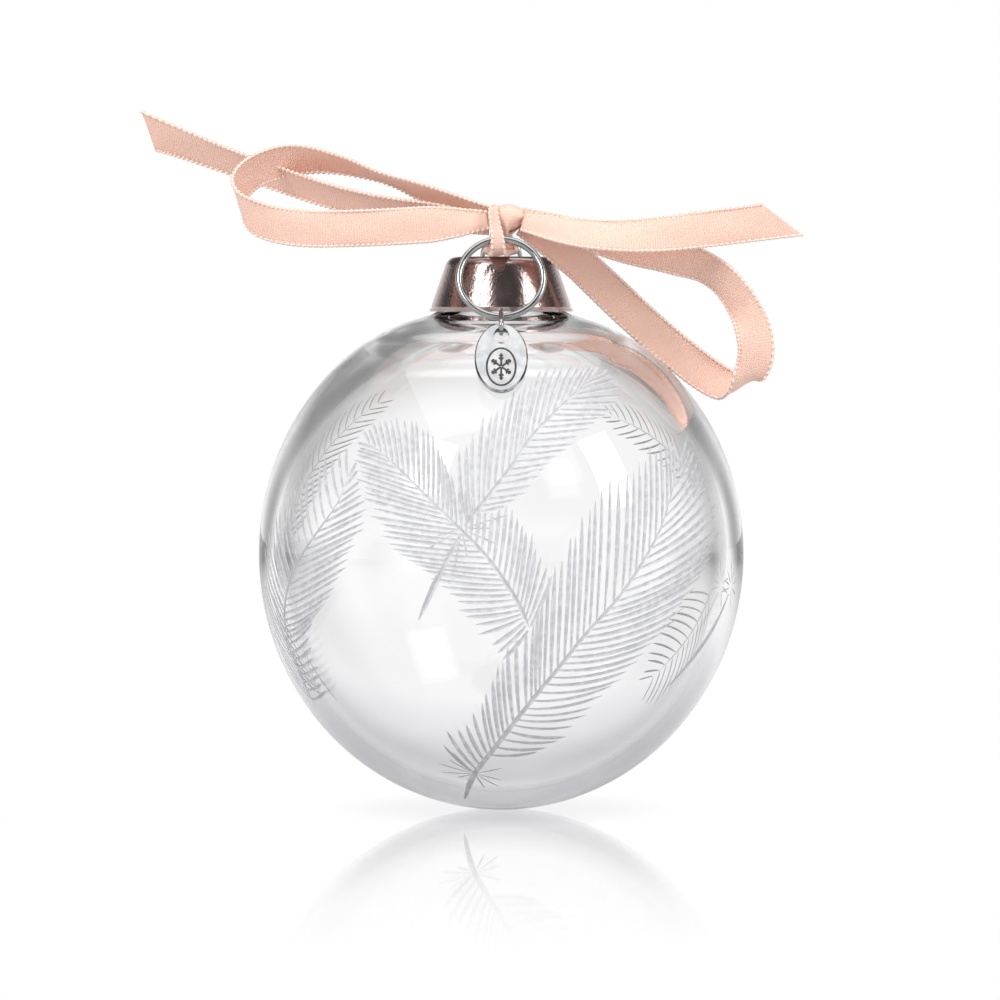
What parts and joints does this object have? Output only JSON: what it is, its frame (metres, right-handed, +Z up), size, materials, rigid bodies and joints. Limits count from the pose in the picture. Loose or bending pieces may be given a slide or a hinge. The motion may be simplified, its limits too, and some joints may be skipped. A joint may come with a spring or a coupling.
{
  "type": "glass ball ornament",
  "caption": "Hollow cut-glass ball with a spun metal cap, a wire hanger, a ribbon bow and a ring that carries a small oval tag.",
  "frame": {"origin": "the ball's lowest point, on the neck's axis", "axes": "+Z up the neck's axis, -Y towards the front, where the ring and tag hang, +X to the right as seen from the front"},
  "size_m": [0.1043, 0.08, 0.1127],
  "materials": {
    "crystal": "clear polished glass with frosted wheel-cut feathers",
    "cap_metal": "polished dark rose-tinted plating",
    "hanger_wire": "drawn wire",
    "charm_steel": "polished",
    "tag_silver": "satin face with a polished bevel",
    "ribbon_satin": "woven satin with picot edges"
  },
  "bodies": {
    "ball": {"glass_ball": "crystal"},
    "cap": {"cap_shell": "cap_metal", "wire_hanger": "hanger_wire", "ribbon_strand": "ribbon_satin", "ribbon_knot": "ribbon_satin", "ribbon_tail_left": "ribbon_satin", "ribbon_loop_left": "ribbon_satin", "ribbon_loop_right": "ribbon_satin", "ribbon_tail_right": "ribbon_satin"},
    "ring": {"charm_ring": "charm_steel"},
    "link": {"charm_link": "charm_steel"},
    "tag": {"charm_tag": "tag_silver"}
  },
  "joints": [
    {"name": "cap_lift", "type": "slide", "parent": "ball", "child": "cap", "axis": [0, 0, 1], "range_m": [0, 0.025]},
    {"name": "ring_swing", "type": "hinge", "parent": "cap", "child": "ring", "pos_m": [0, -0.012, 0.0939], "axis": [-1, 0, 0], "range_deg": [0, 60]},
    {"name": "link_swing", "type": "hinge", "parent": "ring", "child": "link", "pos_m": [0, -0.01749, 0.08139], "axis": [-1, 0, 0], "range_deg": [0, 60]},
    {"name": "tag_swing", "type": "hinge", "parent": "link", "child": "tag", "pos_m": [0, -0.02244, 0.07978], "axis": [-1, 0, 0], "range_deg": [0, 60]}
  ]
}
